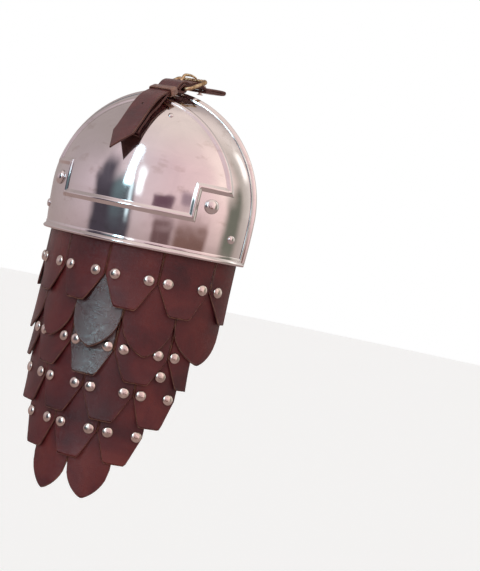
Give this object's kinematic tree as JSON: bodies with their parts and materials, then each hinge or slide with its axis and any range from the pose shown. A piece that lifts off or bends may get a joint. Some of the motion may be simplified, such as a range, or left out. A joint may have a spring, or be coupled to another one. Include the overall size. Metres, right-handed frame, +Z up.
{
  "type": "pauldron",
  "caption": "Shoulder armour: polished steel cap with raised bead and rivets, hanging skirt of overlapping riveted leather scales, and a strap with buckle on the crown.",
  "frame": {"origin": "the inside of the steel cap's crown, 25 mm outward from its open rim, where it rests on the wearer's shoulder", "axes": "+Z up, -Y outward from the wearer's shoulder, +X toward the wearer's front"},
  "size_m": [0.223, 0.149, 0.4184],
  "materials": {
    "steel": "mirror polished steel with faint wipe marks",
    "nickel": "bright nickel plated rivets, lightly worn",
    "brass": "old brass, darkened in the corners",
    "leather": "oxblood leather, semi-gloss, with cut edges"
  },
  "bodies": {
    "root": {"cap": "steel", "cap_rivet_front": "steel", "cap_rivet_back": "steel", "corner_rivet_front": "steel", "corner_rivet_back": "steel", "crown_rivet_front": "steel", "crown_rivet_back": "steel", "chape_rivet": "steel", "scale_a1": "leather", "scale_a2": "leather", "scale_a3": "leather", "scale_a4": "leather", "scale_a5": "leather", "scale_a6": "leather", "scale_b1": "leather", "scale_b2": "leather", "scale_b3": "leather", "scale_b4": "leather", "scale_b5": "leather", "scale_c1": "leather", "scale_c2": "leather", "scale_c3": "leather", "scale_c4": "leather", "scale_c5": "leather", "scale_d1": "leather", "scale_d2": "leather", "scale_d3": "leather", "scale_d4": "leather", "scale_e1": "leather", "scale_e2": "leather", "scale_e3": "leather", "scale_f1": "leather", "scale_f2": "leather", "rivet_a1": "nickel", "rivet_a2": "nickel", "rivet_a3": "nickel", "rivet_a4": "nickel", "rivet_a5": "nickel", "rivet_a6": "nickel", "rivet_a7": "nickel", "rivet_a8": "nickel", "rivet_a9": "nickel", "rivet_a10": "nickel", "rivet_c1": "nickel", "rivet_c2": "nickel", "rivet_c3": "nickel", "rivet_c4": "nickel", "rivet_c5": "nickel", "rivet_c6": "nickel", "rivet_c7": "nickel", "rivet_c8": "nickel", "chape": "leather", "keeper": "leather", "strap": "leather", "strap_rivet": "nickel", "buckle_frame": "brass", "buckle_prong": "brass"}
  },
  "joints": []
}
